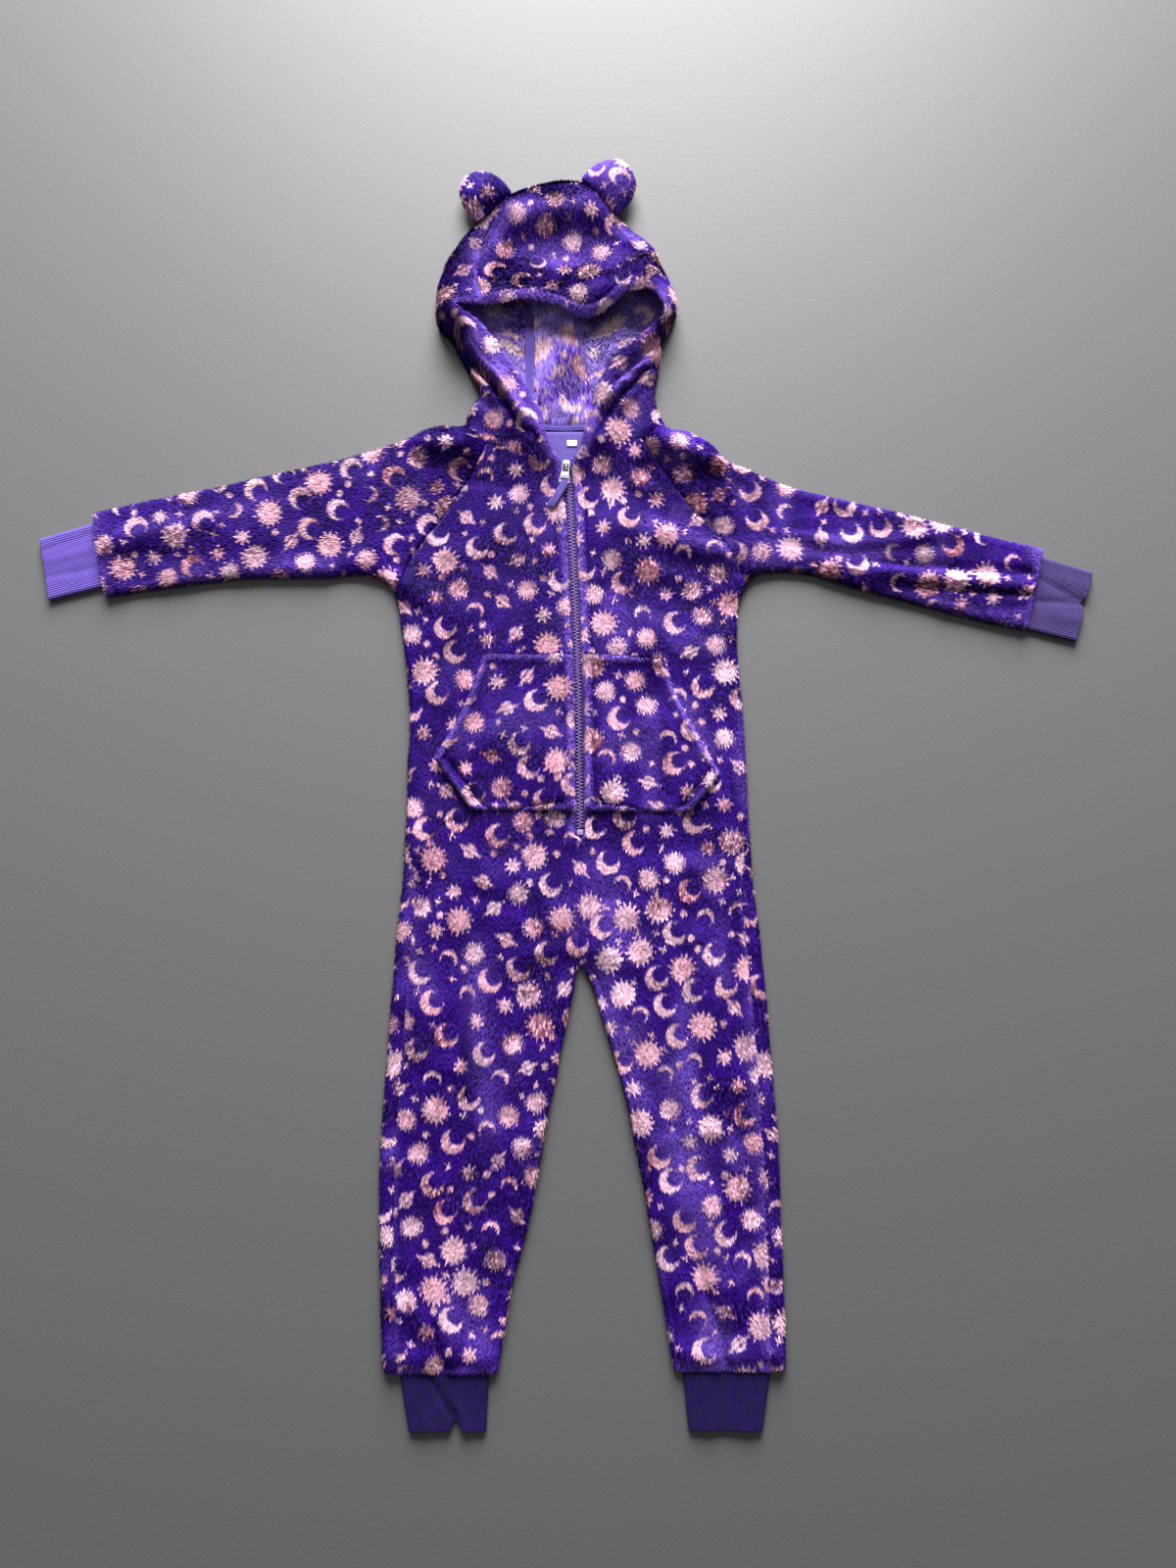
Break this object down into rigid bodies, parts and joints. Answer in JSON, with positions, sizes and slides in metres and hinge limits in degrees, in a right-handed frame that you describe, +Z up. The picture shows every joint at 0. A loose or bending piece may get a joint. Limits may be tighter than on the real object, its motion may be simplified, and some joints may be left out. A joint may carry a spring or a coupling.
{
  "type": "onesie pajama",
  "caption": "Child's hooded fleece onesie laid flat: raglan sleeves, bear ears, front zip, pouch pocket in halves, and rib cuffs at wrists and ankles.",
  "frame": {"origin": "centre of the laid-out garment's box, on the surface that it rests on", "axes": "+Y from the feet to the hood, +X towards the right of a viewer who stands at the feet, +Z up from the surface, out of the garment's front"},
  "size_m": [0.9782, 1.1584, 0.0394],
  "materials": {
    "fleece": "violet coral fleece with a small pale print",
    "ear_fleece": "violet coral fleece over soft filling",
    "rib_knit": "matte lavender-violet rib knit",
    "jersey": "matte lavender jersey",
    "tape": "matte woven tape",
    "teeth": "moulded, satin",
    "nickel": "nickel plated, satin",
    "label": "plain satin ribbon"
  },
  "bodies": {
    "garment": {"back_l": "fleece", "back_r": "fleece", "front_l": "fleece", "front_r": "fleece", "sleeve_l": "fleece", "sleeve_r": "fleece", "hood_l": "fleece", "hood_c": "fleece", "hood_r": "fleece", "pocket_l": "fleece", "pocket_r": "fleece", "ear_l": "ear_fleece", "ear_r": "ear_fleece", "cuff_wrist_l": "rib_knit", "cuff_wrist_r": "rib_knit", "cuff_ankle_l": "rib_knit", "cuff_ankle_r": "rib_knit", "neck_facing": "jersey", "neck_tape": "tape", "hood_tape": "tape", "size_label": "label", "zip_tape_l": "tape", "zip_tape_r": "tape", "zip_chain": "teeth", "zip_stop": "teeth", "zip_slider": "nickel"},
    "zip_pull": {"pull_tab": "nickel", "pull_loop": "jersey"}
  },
  "joints": [
    {"name": "pull_hinge", "type": "hinge", "parent": "garment", "child": "zip_pull", "pos_m": [0.0008, 0.2794, 0.0131], "axis": [-0.9945, 0.1045, 0], "range_deg": [0, 165]}
  ]
}
